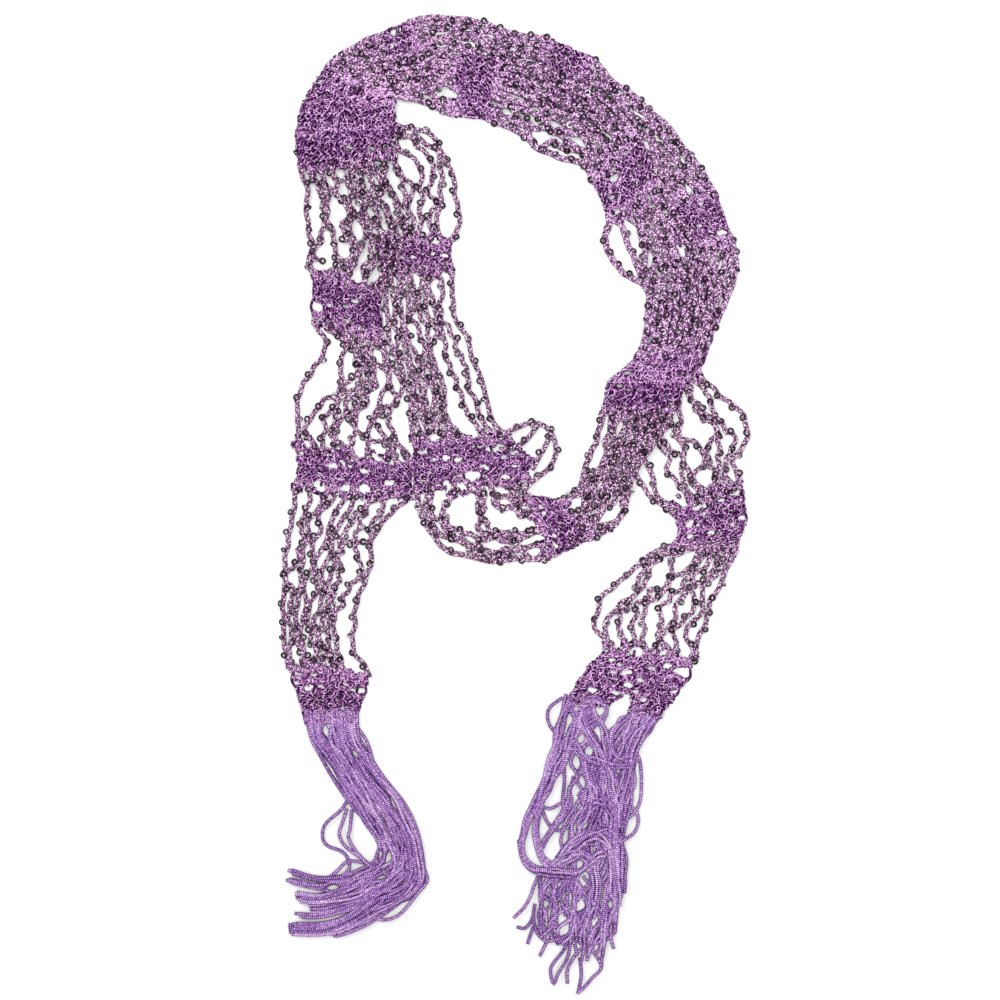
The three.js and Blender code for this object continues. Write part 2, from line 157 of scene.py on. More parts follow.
UPPER_LEFT_OPEN = [
    (-130, 190, 3), (-119, 208, 3), (-112, 203, 2.5), (-113, 214, 2), (-115, 189, 4), (-103, 181, 2.5),
    (-84, 182, 2), (-104, 195, 2), (-78, 209, 2.5), (-81, 214, 2), (-72, 200, 2), (-53, 203, 1.5),
    (-67, 221, 1.5), (-43, 188, 4), (-44, 179, 4), (-58, 177, 1.5), (-52, 171, 2), (-120, 162, 5),
    (-110, 166, 4), (-127, 157, 4), (-104, 147, 2), (-93, 145, 2.5), (-45, 147, 3), (-54, 149, 1.3),
    (-64, 149, 1.3), (-102, 147, 2),
]

RISER_OPEN = [
    (-52, 143, 2.5), (-42, 97, 2), (-38, 88, 2), (-34, 79, 2), (-30, 69, 1.5), (-51, 104, 2.5),
    (-66, 121, 1.5), (-68, 116, 2), (-52, 44, 2.5), (-37, 29, 1.3), (-45, 30, 1.3), (-21, 25, 1.6),
    (-12, 37, 1.6), (-60, 34, 1.3),
]

ARC_OPEN = [
    (38, 227, 1.5), (-46, 268, 3), (-41, 266, 2.5), (-14, 260, 1.8), (-6, 256, 1.5), (15, 236, 2),
    (60, 239, 1.5), (91, 219, 1.5), (63, 216, 2), (64, 212, 2), (86, 200, 2), (97, 190, 1.5),
    (114, 203, 2), (66, 189, 2.5), (107, 167, 2.5), (110, 164, 2.5), (134, 177, 1.5), (75, 153, 2.3),
]

TURN_OPEN = [
    (-43, 12, 3.5), (-37, 17, 2), (-35, 12, 2.5), (-27, 18, 2.5), (-49, 6, 3), (-6, 10, 2.5), (-7, 2, 2.5),
    (-6, 17, 2), (-12, -9, 4), (-3, -7, 3), (4, -14, 3), (10, -12, 2.5), (-13, -26, 3), (10, -23, 2),
    (16, -22, 2), (26, -26, 1.5), (-43, -25, 2), (-34, -27, 1.6), (13, -31, 2.3), (37, -1, 2.5),
    (41, 2, 2), (63, -6, 2.3), (67, -4, 2), (59, -9, 2), (-51, -4, 1.6), (53, 31, 3), (49, 25, 2),
    (57, 47, 1.5), (91, 31, 3), (-21, 25, 1.6), (-29, 20, 1.6),
]

RIGHT_OPEN = [
    (119, 71, 2.5), (112, 63, 2.5), (116, 52, 4), (125, 47, 4), (136, 65, 4), (143, 57, 4), (148, 49, 2.5),
    (138, 42, 3), (93, 31, 5), (105, 27, 2), (115, 27, 2.5), (124, 18, 4), (97, 11, 3), (104, 7, 4),
    (109, 1, 3), (141, 21, 2), (143, 8, 2.5), (120, -1, 2.8), (114, -12, 2), (97, -41, 4), (94, -49, 4),
    (105, -37, 2), (104, -50, 2), (74, -51, 3), (69, -56, 4), (64, -60, 2.5), (59, -66, 2.5),
    (54, -78, 2.5), (64, -82, 3), (73, -73, 2.5), (73, -81, 2.5), (80, -78, 2), (91, -73, 4),
    (101, -69, 4), (108, -68, 2.5), (111, -64, 2), (84, -59, 1.5), (68, -91, 2.5), (78, -95, 3),
    (95, -95, 2.5), (99, -105, 2), (111, -96, 3), (110, -109, 2.5), (128, -54, 2.5), (89, -88, 2),
    (71, -110, 2),
]

RIGHT_FRINGE_OPEN = [
    (68, -129, 6.5), (39, -134, 1.8), (36, -138, 1.3), (53, -146, 1.6), (56, -134, 1.8), (43, -152, 1.8),
    (48, -160, 2.3), (40, -168, 2), (43, -180, 2.3), (30, -181, 3), (36, -176, 2.3), (39, -186, 2.5),
    (24, -200, 3), (45, -243, 2.8), (42, -233, 1.8), (31, -268, 2.4), (32, -276, 2.6), (43, -260, 2.3),
    (22, -250, 1.8), (21, -257, 1.8), (52, -269, 2), (62, -259, 1.5), (62, -276, 1.6),
]

LEFT_FRINGE_OPEN = [
    (-123, -146, 1.6), (-87, -227, 1.2), (-82, -229, 1.2), (-104, -161, 1.2), (-118, -248, 1.3),
]

# The notch that parts the end of the right tail: its middle as a share of the width, and the
# share left clear in each row of stitches, from the last row back.
RIGHT_NOTCH = {"share": 0.46, "clear": [0.2, 0.19, 0.17, 0.14, 0.08]}

# The strands of the arcs lie closer. Their plies are stouter, paler and more purple, their
# beads closer and their stitches lighter.
ARC = {
    "open": ARC_OPEN, "strands": {"stout": 1.25, "pale": 0.26, "band": 0.5},
    "pitch": 9.5, "lighter": 0.18,
}

# Each stretch names those that it lies over. roots is the section that lies on a fringe's roots.
# What isn't given here is as plait() and the constants below have it.
STRETCHES = [
    {"name": "left_tail", "rows": LEFT_TAIL, "over": ["inner_riser", "outer_arc"],
     "open": LOWER_LEFT_OPEN + UPPER_LEFT_OPEN, "strands": {"pale": -0.05}, "roots": 0},
    {"name": "inner_arc", "rows": INNER_ARC, "over": ["outer_arc"], **ARC},
    {"name": "bottom_turn", "rows": BOTTOM_TURN, "over": ["right_tail"], "open": TURN_OPEN,
     "strands": {"stout": 1.12}},
    {"name": "inner_riser", "rows": INNER_RISER, "over": [],
     "open": UPPER_LEFT_OPEN + RISER_OPEN},
    {"name": "outer_arc", "rows": OUTER_ARC, "over": [], **ARC},
    {"name": "right_tail", "rows": RIGHT_TAIL, "over": [], "open": RIGHT_OPEN,
     "roots": len(RIGHT_TAIL) - 1, "notch": RIGHT_NOTCH, "lighter": 0.1,
     "strands": {"pale": 0.06}},
]

# The slack strand that stands out of the bottom turn as an arch, and two that hang into it.
ARCH = [
    [(-12, 41), (-6, 46.5), (2, 50.5), (10, 53.3), (18, 52), (24, 46), (26.5, 38), (25.5, 30),
     (21, 23), (14, 17.5), (8, 12), (4, 5)],
    [(-10, 36), (-4, 36.5), (1, 38), (7, 42), (12, 48), (15, 52)],
    [(11, 23), (15, 30), (19, 37), (22, 43), (25, 46)],
]

# ---------- the yarn and what it makes
STEP = 1.1  # between the points of a plaited strand
PLAIT = 6.4  # length in which each ply crosses over and back
PLAIT_REACH = 1.15  # how far a ply swings to each side
PLAIT_RISE = 0.5  # and up and down
PLY = 0.68  # half the thickness of a ply
PLY_TONES = [0.95, 0.5, 0.05]  # from the light lilac filament to the dark plum one
PAINTED_SIDE_SHADE = 0.8  # how much lower the sides of a yarn count than its top, so that they are painted darker: painted shade
SLOW_SLACK, QUICK_SLACK = 0.45, 0.25  # shares of its room that a strand strays
SLOW_WAVE, QUICK_WAVE = (22, 48), (9, 18)  # shortest and longest of each swing
FREE_RISE, FREE_WAVE = 0.35, (15, 35)  # how far it strays up and down
MOST_ROOM = 7.0  # the room that counts where a strand has more
EDGE_SLACK = 0.4  # share of it at the edges of the strip
EDGE_GIVE = 0.3  # and of how far openings push a strand
RUN_IN = 0.15  # how far a strand runs into a band, in sections

STITCH_ROW = 2.4  # between the rows of stitches in a band
STITCHES = (2.9, 4.3)  # shortest and longest stitch across the strip
STITCH_REACH = 1.7  # how far a stitch goes up and down the strip
STITCH_LEAN = 1.0  # and to each side
STITCH_YARN = 0.52  # half the thickness of its yarn
STITCH_POINTS = 7  # along each of its loops
STITCH_TONE = 0.62  # how light it is, on the scale of PLY_TONES
GROUND_WIDTH = 1.15  # half the width of the chain that a row of stitches is worked on
GROUND_THICK = 0.4  # and half its thickness
CHAIN_STEP = 1.6  # between its points
CHAIN_DROP = 0.75  # from the cloth's middle down to it
FINGERS = [0.055, 0.046, 0.036, 0.028]  # half widths of the rows worked out along a strand
CLOTH_A_HOLE = 130  # square millimetres of a band for each small hole in it
HOLES = (0.4, 1.1)  # smallest and largest radius of one
EDGE_IN, EDGE_STRAY = 0.014, 0.012  # shares of the width that the rows stop short and stray
EDGE_WAVE = (7, 16)  # shortest and longest swing of the edge
HOLE_EDGE = 1.5  # from a hole's edge to the middle of the row that goes round it
OVER_ROOTS = 1.6  # how far the strip's end is raised by the roots of the cords under it
ROOTS = 0.5  # and how far back from the end, in sections
WARP_WIDTH, WARP_THICK = 0.85, 0.7  # halves of the plain strands that run through a band

RING = 1.7  # from a bead's middle to the middle of its rim
RING_RIM = 0.68  # half the thickness of the rim
RING_PITCH = 12.8  # between the beads of a strand
RING_BESIDE = 1.5  # from the strand's middle to a bead's
SAME_SIDE = 0.75  # share of the beads on the same side as the one before
FLAT_RINGS = 0.8  # share that lie about flat
FLAT_TILT, STEEP_TILT = 0.45, 1.2  # the most that those and the others tilt, as a slope


def unit(vectors):
    return vectors / np.maximum(np.linalg.norm(vectors, axis=-1, keepdims=True), 1e-9)


def put(name, data, location=(0, 0, 0)):
    """Puts a mesh, a lamp or the camera into the scene."""
    made = bpy.data.objects.new(name, data)
    made.location = location
    bpy.context.scene.collection.objects.link(made)
    return made


# What the finishes read: how light a point's own colour is, how high it is in its yarn, which they
# turn into painted light and shade (tops lighter, sides and low points darker), and how much of the
# bands' purple it takes.
YARN, BEADS = ["tone", "lift", "band"], ["tone"]


class Batch:
    """One piece being made: its points in millimetres, its faces, and what the finish reads."""

    def __init__(self, facts):
        self.points, self.quads, self.triangles = [], [], []
        self.facts = {name: [] for name in facts}
        self.size = 0

    def add(self, points, quads, triangles, facts):
        """Adds closed forms of one kind. facts holds one value, or one a point, for each name."""
        self.points.append(points)
        self.quads.append(quads + self.size)
        self.triangles.append(triangles + self.size)
        for name, values in self.facts.items():
            values.append(np.broadcast_to(facts[name], len(points)).astype(np.float32))
        self.size += len(points)

    def object(self, name):
        points = np.concatenate(self.points).astype(np.float32) * MM
        points[:, 2] = points[:, 2].clip(0)  # the table flattens what lies on it
        quads, triangles = np.concatenate(self.quads), np.concatenate(self.triangles)
        mesh = bpy.data.meshes.new(name)
        mesh.vertices.add(len(points))
        mesh.vertices.foreach_set("co", points.ravel())
        corners = np.concatenate([quads.ravel(), triangles.ravel()]).astype(np.int32)
        sizes = np.repeat([4, 3], [len(quads), len(triangles)])
        mesh.loops.add(len(corners))
        mesh.loops.foreach_set("vertex_index", corners)
        mesh.polygons.add(len(sizes))
        mesh.polygons.foreach_set("loop_start", np.cumsum(sizes) - sizes)
        mesh.polygons.foreach_set("loop_total", sizes)
        mesh.polygons.foreach_set("use_smooth", np.ones(len(sizes), bool))
        mesh.update(calc_edges=True)
        for fact, values in self.facts.items():
            layer = mesh.attributes.new(fact, "FLOAT", "POINT")
            layer.data.foreach_set("value", np.concatenate(values))
        return put(name, mesh)


def directions(line):
    """The way along a line at each of its points, the way across it and the way up from it."""
    along = unit(np.gradient(line, axis=0))
    across = unit(np.cross(along, (0, 0, 1)) + np.array((1e-6, 0, 0)))
    return along, across, np.cross(across, along)


def tube(batch, line, half_width, half_height, sides, **facts):
    """A closed tube along a line, its ends drawn to a point. The fact for painted light says how high a
    point is, and the finishes paint high points lighter and low ones darker.
    """
    _, across, up = directions(line)
    count = len(line)
    turn = TURN * np.arange(sides) / sides
    wide, high = np.cos(turn) * half_width, np.sin(turn) * half_height
    ring = across[:, None] * wide[:, None] + up[:, None] * high[:, None]
    body = (line[:, None] + ring).reshape(-1, 3)
    points = np.concatenate([body, line[:1], line[-1:]])
    here = np.arange((count - 1) * sides).reshape(-1, sides)
    beside = np.roll(here, -1, axis=1)
    quads = np.stack([here, here + sides, beside + sides, beside], axis=-1).reshape(-1, 4)
    near, far = here[0], here[-1] + sides
    first, last = np.full(sides, count * sides), np.full(sides, count * sides + 1)
    starts = np.stack([first, near, np.roll(near, -1)], axis=-1)
    ends = np.stack([last, np.roll(far, -1), far], axis=-1)
    spread = {}
    for name, value in facts.items():
        value = np.broadcast_to(value, count).astype(float)
        if name == "lift":
            # Painted shade: the sides and underside of the tube get a lower light value than its top.
            rounded = (value[:, None] + PAINTED_SIDE_SHADE * (np.sin(turn) - 0.5)).ravel()
        else:
            rounded = np.repeat(value, sides)
        spread[name] = np.concatenate([rounded, value[:1], value[-1:]])
    batch.add(points, quads, np.concatenate([starts, ends]), spread)


def smooth_line(points, places):
    """The points of a smooth curve through points, at places counted in points from the first."""
    points = np.asarray(points, float)
    padded = np.concatenate([2 * points[:1] - points[1:2], points, 2 * points[-1:] - points[-2:-1]])
    span = np.clip(places.astype(int), 0, len(points) - 2)
    t = (places - span).reshape(-1, *([1] * (points.ndim - 1)))
    before, start, end, after = (padded[span + i] for i in range(4))
    return 0.5 * (
        2 * start
        + (end - before) * t
        + (2 * before - 5 * start + 4 * end - after) * t**2
        + (3 * start - before - 3 * end + after) * t**3
    )


def lay(line, heights=0):
    """The line in plan, laid at a height or at one for each point."""
    return np.column_stack([line, np.broadcast_to(heights, len(line))])


def lengths_along(line):
    steps = np.linalg.norm(np.diff(line, axis=0), axis=1)
    return np.concatenate([[0], np.cumsum(steps)])


def evenly(line, step, *followers):
    """The line with points a step apart, and the same of each follower's values."""
    length = lengths_along(line)
    places = np.linspace(0, length[-1], max(3, round(length[-1] / step) + 1))
    pick = lambda values: np.interp(places, length, values)
    found = np.stack([pick(column) for column in line.T], axis=-1)
    return (found, *(pick(values) for values in followers))


def wave(rng, places, reach, shortest, longest):
    """A slow, uneven swing to and fro, between the shortest and the longest that it may be."""
    total = np.zeros_like(places)
    for _ in range(2):
        total += np.sin(TURN * (places / rng.uniform(shortest, longest) + rng.uniform()))
    return total * reach / 2


def heights_over(node):
    """What gives the middle of the cloth's thickness over any points in plan."""
    corners = np.array([v.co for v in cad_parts[node].data.vertices]) / MM

    def heights(points):
        found = []
        for part in np.array_split(points, len(points) // 1000 + 1):
            apart = ((part[:, None, :2] - corners[None, :, :2]) ** 2).sum(axis=2)
            weight = 1 / (apart + 1) ** 2
            found.append(weight @ corners[:, 2] / weight.sum(axis=1))
        return np.concatenate(found)

    return heights


# ---------- the strip
PER_ROW = 16  # places worked out from each section to the next


def strand_middles(row):
    """The middle of each strand across a section. The wide gaps keep their clear width."""
    left, right, wide = np.array(row["left"]), np.array(row["right"]), row["wide"]
    width = np.linalg.norm(right - left)
    even_gaps = STRANDS - 1 - len(wide)
    each = STRAND
    pitch = (width - sum(wide.values()) - each * (1 + len(wide))) / even_gaps
    if each > STRAND_SHARE * pitch:
        pitch = (width - sum(wide.values())) / (even_gaps + STRAND_SHARE * (1 + len(wide)))
        each = STRAND_SHARE * pitch
    middles = [each / 2]
    for strand in range(STRANDS - 1):
        middles.append(middles[-1] + (wide[strand] + each if strand in wide else pitch))
    return left + (right - left) * (np.array(middles) / width)[:, None]


def runs_of(kind, rows):
    """The runs of rows that have this kind of cloth between them, as first and last row."""
    runs = []
    for i, row in enumerate(rows[:-1]):
        if row["next"] != kind:
            continue
        if runs and runs[-1][1] == i:
            runs[-1][1] = i + 1
        else:
            runs.append([i, i + 1])
    return runs


def plait(yarn, line, rng, stout=1.0, pale=0.0, band=0.0):
    """A strand: three plies that cross over each other along the line."""
    _, across, up = directions(line)
    turn = TURN * (lengths_along(line) / PLAIT + rng.uniform())
    for ply, tone in enumerate(PLY_TONES):
        place = turn + TURN * ply / 3
        rise = np.sin(2 * place)
        swing = across * (PLAIT_REACH * stout * np.sin(place))[:, None]
        middle = line + swing + up * (PLAIT_RISE * rise)[:, None]
        # Painted light and shade: a ply is painted lighter where it rises over the others and darker where
        # it dives under them.
        lift = 0.5 + 0.35 * rise
        tube(yarn, middle, PLY * stout, PLY, 4, tone=tone + pale, lift=lift, band=band)


def add_ring(beads, middle, axis, rng):
    """A bead: a small thick ring whose hole looks along the axis."""
    around, over = 12, 4
    a = TURN * np.arange(around) / around
    b = TURN * np.arange(over) / over
    first = unit(np.cross(axis, (0.3, 0.9, 0.1)))
    second = np.cross(axis, first)
    out = np.cos(a)[:, None, None] * first + np.sin(a)[:, None, None] * second
    rim = RING_RIM * rng.uniform(0.9, 1.05)
    points = middle + out * (RING + rim * np.cos(b))[:, None]
    points = points + axis * (rim * np.sin(b))[:, None]
    here = np.arange(around * over).reshape(around, over)
    on = np.roll(here, -1, axis=0)
    quads = np.stack([here, on, np.roll(on, -1, axis=1), np.roll(here, -1, axis=1)], axis=-1)
    none = np.zeros((0, 3), int)
    # A bead's tone varies its metal at random; the finish paints a glint on those of highest tone.
    beads.add(points.reshape(-1, 3), quads.reshape(-1, 4), none, {"tone": rng.uniform()})


def thread_rings(beads, line, rng, side, pitch):
    """Beads along a strand, now on one side of it and now on the other."""
    along, across, up = directions(line)
    length = lengths_along(line)
    place = rng.uniform(3, pitch)
    while place < length[-1] - 2:
        i = int(np.searchsorted(length, place))
        side = side if rng.uniform() < SAME_SIDE else -side
        middle = line[i] + across[i] * side * RING_BESIDE * rng.uniform(0.5, 1.2)
        middle = middle + up[i] * rng.uniform(0.3, 1.0)
        most = FLAT_TILT if rng.uniform() < FLAT_RINGS else STEEP_TILT
        tilt = rng.uniform(-most, most, 2)
        axis = unit(up[i] + along[i] * tilt[0] + across[i] * tilt[1])
        add_ring(beads, middle, axis, rng)
        place += pitch * rng.uniform(0.75, 1.25)


def room_beside(lines):
    """How far each point of each line is from the nearer of the lines beside it."""
    apart = np.linalg.norm(np.diff(lines, axis=1), axis=2)
    far = np.full((len(lines), 1), MOST_ROOM)
    near = np.minimum(np.hstack([far, apart]), np.hstack([apart, far]))
    return near.clip(0, MOST_ROOM)


def part_round(line, openings, margin, give=1.0):
    """A strand moved sideways past openings, which are left as almonds between strands."""
    for *centre, radius in openings:
        clear = radius + margin
        apart = np.linalg.norm(line[:, :2] - centre, axis=1)
        nearest = int(np.argmin(apart))
        if apart[nearest] > 1.5 * clear or nearest in (0, len(line) - 1):
            continue
        across = directions(line)[1]
        side = (line[nearest, :2] - centre) @ across[nearest, :2]
        away = math.copysign(clear - abs(side) * 2 / 3, side) * give
        length = lengths_along(line)
        share = np.clip(abs(length - length[nearest]) / (2 * clear + 2), 0, 1)
        line = line + across * (away * (0.5 + 0.5 * np.cos(math.pi * share)))[:, None]
    return line


def strand_lines(rows, start, end):
    """The middles of all the strands from one place along the strip to another."""
    middles = np.stack([strand_middles(row) for row in rows])
    return smooth_line(middles, np.linspace(start, end, round((end - start) * PER_ROW) + 1))


def net(yarn, beads, stretch, first, last, heights, rng):
    """The bare strands from one row to another, with their beads."""
    rows = stretch["rows"]
    lines = strand_lines(rows, max(0, first - RUN_IN), min(len(rows) - 1, last + RUN_IN))
    rooms = room_beside(lines)
    for strand in range(STRANDS):
        edge = strand in (0, STRANDS - 1)
        line, room = evenly(lines[:, strand], STEP, rooms[:, strand])
        length = lengths_along(line)
        loose = np.sin(math.pi * length / length[-1]).clip(0) ** 0.5
        room = room * loose * (EDGE_SLACK if edge else 1)
        stray = wave(rng, length, SLOW_SLACK, *SLOW_WAVE)
        stray += wave(rng, length, QUICK_SLACK, *QUICK_WAVE)
        line = lay(line)
        line += directions(line)[1] * (stray * room)[:, None]
        line = part_round(line, stretch["open"], PLAIT_REACH + 0.4, EDGE_GIVE if edge else 1)
        line[:, 2] = heights(line) + wave(rng, length, FREE_RISE, *FREE_WAVE) * loose
        plait(yarn, line, rng, **stretch.get("strands", {}))
        pitch = stretch.get("pitch", RING_PITCH)
        thread_rings(beads, line, rng, rng.choice([-1, 1]), pitch)


def cloth_map(rows):
    """What gives the plan point at places along the strip and shares of its width."""
    left = np.array([row["left"] for row in rows], float)
    right = np.array([row["right"] for row in rows], float)

    def points(places, shares):
        a, b = smooth_line(left, places), smooth_line(right, places)
        return a + (b - a) * shares[:, None]

    return points


def lobes(notch, rows_left):
    """The spans of a row of stitches, two where a notch in the band's end parts it."""
    if not notch or rows_left >= len(notch["clear"]):
        return [(0, 1)]
    half = notch["clear"][rows_left] / 2
    return [(0, notch["share"] - half), (notch["share"] + half, 1)]


def band(yarn, stitches, stretch, first, last, heights, notch, rng):
    """A dense band: rows of stitches over their chains, and the strands that run through."""
    rows = stretch["rows"]
    at = cloth_map(rows)
    spine = at(np.linspace(first, last, 40), np.full(40, 0.5))
    length = lengths_along(spine)[-1]
    count = max(2, round(length / STITCH_ROW))
    step = (last - first) / count
    middle = at(np.full(2, (first + last) / 2), np.array([0, 1]))
    number = round(length * np.linalg.norm(middle[1] - middle[0]) / CLOTH_A_HOLE)
    centres = at(rng.uniform(first, last, number), rng.uniform(0.04, 0.96, number))
    holes = stretch["open"] + [(*centre, rng.uniform(*HOLES)) for centre in centres]
    rise = lambda place: OVER_ROOTS * max(0, 1 - abs(place - stretch.get("roots", -9)) / ROOTS)

    along = np.arange(count + 1) * STITCH_ROW
    edge_left = EDGE_IN + wave(rng, along, EDGE_STRAY, *EDGE_WAVE)
    edge_right = -EDGE_IN + wave(rng, along, EDGE_STRAY, *EDGE_WAVE)
    for k in range(count + 1):
        for low, high in lobes(notch, count - k):
            span = (low + edge_left[k] * (low == 0), high + edge_right[k] * (high == 1))
            place = first + step * k
            tone = STITCH_TONE + stretch.get("lighter", 0)
            stitch_row(yarn, stitches, at, place, span, heights, rise(place), holes, tone, rng)
    for edge, way in [(first, -1), (last, 1)]:
        if 0 < edge < len(rows) - 1:
            fingers(yarn, stitches, rows, at, edge, way * step, heights, holes, tone, rng)
    warp(yarn, at, first, last, step, notch, heights, holes, rng)


def fingers(yarn, stitches, rows, at, edge, step, heights, holes, tone, rng):
    """The short rows that are worked out from a band along each of its strands."""
    row = rows[edge]
    width = math.dist(row["left"], row["right"])
    shares = np.linalg.norm(strand_middles(row) - row["left"], axis=1) / width
    long = 1.7 + wave(rng, shares, 1.6, 0.25, 0.6) + rng.uniform(-0.9, 0.9, STRANDS)
    for share, rows_long in zip(shares, long):
        for k in range(int(np.clip(round(rows_long), 0, len(FINGERS)))):
            half = FINGERS[k] * rng.uniform(0.85, 1.15)
            span = (share - half, share + half)
            place = edge + (k + 1) * step
            stitch_row(yarn, stitches, at, place, span, heights, 0, holes, tone, rng)


def stitch_row(yarn, stitches, at, place, span, heights, raised, holes, tone, rng):
    """One row of open loops, each as long as a stitch, worked over its chain."""
    edges = at(np.full(2, place), np.array(span))
    width = np.linalg.norm(edges[1] - edges[0])
    turns = width / rng.uniform(*STITCHES)
    samples = max(8, round(turns * STITCH_POINTS))
    share = np.linspace(0, 1, samples)
    along = share * width
    spread = span[0] + (span[1] - span[0]) * share
    places = np.full(samples, place)
    forward = unit(at(places + 0.02, spread) - at(places - 0.02, spread))
    across = np.stack([forward[:, 1], -forward[:, 0]], axis=-1)
    middle = at(places, spread) + forward * wave(rng, along, 0.9, 7, 20)[:, None]
    middle = part_round(lay(middle), holes, HOLE_EDGE)[:, :2]

    low = heights(middle) - CHAIN_DROP + raised
    chain, = evenly(lay(middle, low), CHAIN_STEP)
    # The chain is painted darkest: a dark layer that gives painted shade in the gaps under the stitches.
    tube(yarn, chain, GROUND_WIDTH, GROUND_THICK, 4, tone=0.0, lift=0.0, band=1)

    turn = TURN * (share * turns + rng.uniform()) + wave(rng, along, 1.4, 7, 16)
    reach = STITCH_REACH * (1 + wave(rng, along, 0.5, 5, 14))
    lean = rng.choice([-1, 1]) * STITCH_LEAN + wave(rng, along, 0.8, 8, 20)
    inside = np.minimum(1, np.minimum(share, 1 - share) * width / 2.5)
    line = middle + forward * (np.sin(turn) * reach)[:, None]
    line = line + across * (np.sin(2 * turn) * lean * inside)[:, None]
    rise = np.cos(turn + wave(rng, along, 3, 9, 25))
    high = heights(line) + 0.25 + 0.4 * rise + raised
    tone = tone + wave(rng, along, 0.45, 3, 9)
    # Painted light and shade: a loop is painted lighter where it rises and darker where it dips.
    lift = 0.6 + 0.4 * rise
    tube(stitches, lay(line, high), STITCH_YARN, STITCH_YARN, 4, tone=tone, lift=lift, band=1)


def warp(yarn, at, first, last, step, notch, heights, holes, rng):
    """The strands where they run through a band, as plain yarn."""
    for strand in range(STRANDS):
        share = (strand + 0.5) / STRANDS
        stop = last
        if notch and abs(share - notch["share"]) < max(notch["clear"]) / 2:
            stop = last - step * len(notch["clear"])
        places = np.arange(first, stop, step * 2 / 3)
        line = at(places, np.full(len(places), share) + wave(rng, places * 10, 0.012, 4, 9))
        line = part_round(lay(line), holes, HOLE_EDGE)
        line[:, 2] = heights(line) - 0.1 + wave(rng, places * 10, 0.3, 2, 5)
        tone = rng.uniform(0.0, 0.4)
        # Painted shade: the warp under the stitches gets a low light value.
        tube(yarn, line, WARP_WIDTH, WARP_THICK, 4, tone=tone, lift=0.25, band=1)


def stretch_length(rows):
    """The strip's own length over a stretch: that of its longest-lying strand."""
    lines = strand_lines(rows, 0, len(rows) - 1)
    return max(lengths_along(lines[:, strand])[-1] for strand in range(STRANDS))


def crochet(stretch, number):
    """One stretch of the strip, its stitches and its beads."""
    rng = np.random.default_rng(4100 + number)
    rows = stretch["rows"]
    heights = heights_over(stretch["name"])
    yarn, stitches, beads = Batch(YARN), Batch(YARN), Batch(BEADS)
    for first, last in runs_of(NET, rows):
        net(yarn, beads, stretch, first, last, heights, rng)
    for first, last in runs_of(BAND, rows):
        notch = stretch.get("notch") if last == len(rows) - 1 else None
        band(yarn, stitches, stretch, first, last, heights, notch, rng)
    cloth = yarn.object(stretch["name"] + "_strands")
    worked = stitches.object(stretch["name"] + "_stitches")
    rings = beads.object(stretch["name"] + "_rings")
    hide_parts(stretch["name"])
    return cloth, worked, rings


def slack_arch():
    """The slack strand that lies in an arch of its own."""
    rng = np.random.default_rng(4200)
    yarn, beads = Batch(YARN), Batch(BEADS)
    for points in ARCH:
        line, = evenly(smooth_line(points, np.linspace(0, len(points) - 1, 200)), STEP)
        line = lay(line, heights_over("slack_arch")(line))
        plait(yarn, line, rng)
        thread_rings(beads, line, rng, -1, RING_PITCH)
    arch, rings = yarn.object("slack_arch_strand"), beads.object("slack_arch_rings")
    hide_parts("slack_arch")
    return arch, rings


# ---------- the fringes
# Sections across the hanging cords, from the cloth outwards.
LEFT_FRINGE = sections(
    (-102.3, -134, -137.3, -134), (-101, -150, -133, -151), (-94, -163, -125, -166),
    (-84, -178, -116, -181), (-72, -193, -107, -194), (-64, -209, -98, -206), (-60, -226, -90, -217),
    (-59, -243, -88, -226), (-66, -255, -93, -232), (-82, -264, -101, -236), (-101, -275, -113, -240),
    (-122, -281, -130, -242), (-148, -279, -149, -238),
)

CORD = 1.12  # half the thickness of a fringe cord
CORD_STEP = 1.8  # between its points
RIB = 1.3  # length of one rib along it
PILE = 5.4  # height of the cords' pile
ROOT = 14  # length in which the cords rise into it
GROUPED = 9  # section of the left fringe from which its cords draw together in groups

# Where the cords of the left fringe end: how many go there, the share of the last section's
# width, how far the group spreads to each side of it and the row at which they stop.
LEFT_TIPS = [
    (7, 0.03, 0.03, 10.9), (12, 0.1, 0.1, 11.95), (5, 0.33, 0.03, 11.8), (7, 0.46, 0.05, 11.4),
    (9, 0.63, 0.08, 11.7), (6, 0.88, 0.03, 12.0), (5, 1.03, 0.04, 11.9),
]

